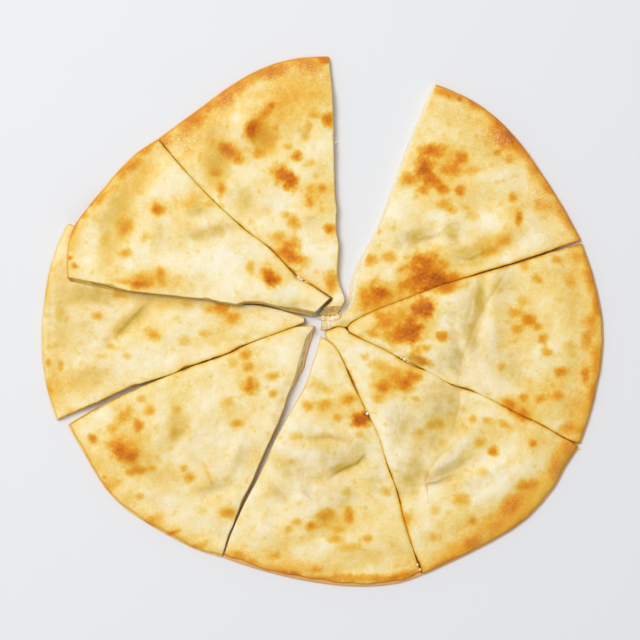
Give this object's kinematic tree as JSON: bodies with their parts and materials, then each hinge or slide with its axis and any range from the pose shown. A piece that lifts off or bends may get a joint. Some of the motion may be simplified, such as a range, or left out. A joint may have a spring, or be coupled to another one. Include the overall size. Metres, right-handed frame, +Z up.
{
  "type": "sliced pagach, a filled flat bread",
  "caption": "Thin round filled flat bread cut in wedges, dough above and below a potato and cheese layer, one wedge riding up on its neighbour.",
  "frame": {"origin": "middle of the bread on the surface that it lies on", "axes": "+Z up through the bread, +Y towards the wedge-shaped gap's side of the rim, +X to the right of it"},
  "size_m": [0.4222, 0.3986, 0.0214],
  "materials": {
    "crust": "soft baked dough, floury and pale with browned blisters, faintly oily",
    "filling": "moist mashed potato and melted cheese"
  },
  "bodies": {
    "root": {"slice_1_dough": "crust", "slice_1_filling": "filling", "slice_2_dough": "crust", "slice_2_filling": "filling", "slice_3_dough": "crust", "slice_3_filling": "filling", "slice_4_dough": "crust", "slice_4_filling": "filling", "slice_5_dough": "crust", "slice_5_filling": "filling", "slice_6_dough": "crust", "slice_6_filling": "filling", "slice_7_dough": "crust", "slice_7_filling": "filling", "slice_8_dough": "crust", "slice_8_filling": "filling"}
  },
  "joints": []
}
